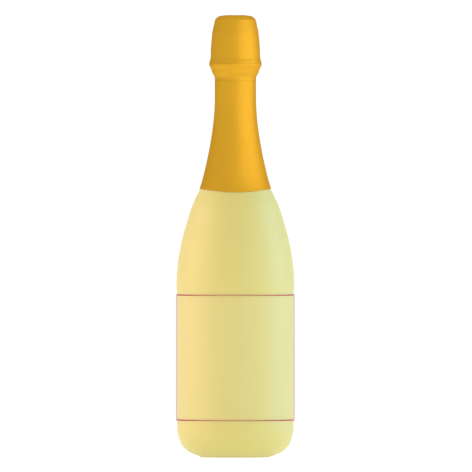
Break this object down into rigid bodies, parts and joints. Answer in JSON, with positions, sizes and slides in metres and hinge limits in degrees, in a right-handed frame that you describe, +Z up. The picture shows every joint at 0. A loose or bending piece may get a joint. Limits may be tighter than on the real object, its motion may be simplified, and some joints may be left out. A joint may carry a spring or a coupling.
{
  "type": "sparkling wine bottle",
  "caption": "Tall round-shouldered sparkling wine bottle with a punt, mushroom cork, wire cage, foil hood and a clear wrap label.",
  "frame": {"origin": "centre of the ring that the bottle stands on", "axes": "+Z up the bottle's axis from the base to the cork, -Y the front that faces the viewer, +X to the viewer's right"},
  "size_m": [0.086, 0.086, 0.3225],
  "materials": {
    "bottle_glass": "satin",
    "wine": "gloss",
    "agglomerated_cork": "matte",
    "natural_cork": "matte",
    "cap_metal": "gloss",
    "cage_wire": "satin",
    "foil_gold": "satin",
    "label_film": "gloss"
  },
  "bodies": {
    "bottle": {"glass_bottle": "bottle_glass", "sparkling_wine": "wine", "foil_skirt": "foil_gold", "foil_tear_strip": "foil_gold", "label_film": "label_film"},
    "tear_tab": {"foil_tear_tab": "foil_gold"},
    "cork": {"cork_body": "agglomerated_cork", "cork_upper_disc": "natural_cork", "cork_lower_disc": "natural_cork"},
    "cage": {"cage_cap": "cap_metal", "cage_top_ring": "cage_wire", "cage_leg_1": "cage_wire", "cage_leg_2": "cage_wire", "cage_leg_3": "cage_wire", "cage_leg_4": "cage_wire", "cage_belt": "cage_wire"},
    "pull_loop": {"cage_loop": "cage_wire"},
    "hood": {"foil_hood": "foil_gold", "foil_top_disc": "foil_gold"}
  },
  "joints": [
    {"name": "cork_pull", "type": "slide", "parent": "bottle", "child": "cork", "axis": [0, 0, 1], "range_m": [0, 0.04]},
    {"name": "cage_lift", "type": "slide", "parent": "cork", "child": "cage", "axis": [0, 0, 1], "range_m": [0, 0.045], "deforming": ["cage_leg_1", "cage_leg_2", "cage_leg_3", "cage_leg_4", "cage_belt"]},
    {"name": "hood_lift", "type": "slide", "parent": "cage", "child": "hood", "axis": [0, 0, 1], "range_m": [0, 0.045]},
    {"name": "loop_fold", "type": "hinge", "parent": "cage", "child": "pull_loop", "pos_m": [0.00798, 0.01636, 0.27958], "axis": [0, 0, -1], "range_deg": [0, 95]},
    {"name": "tab_lift", "type": "hinge", "parent": "bottle", "child": "tear_tab", "pos_m": [-0.00984, 0.01459, 0.28058], "axis": [0, 0, -1], "range_deg": [0, 100], "deforming": ["foil_tear_strip"]}
  ]
}
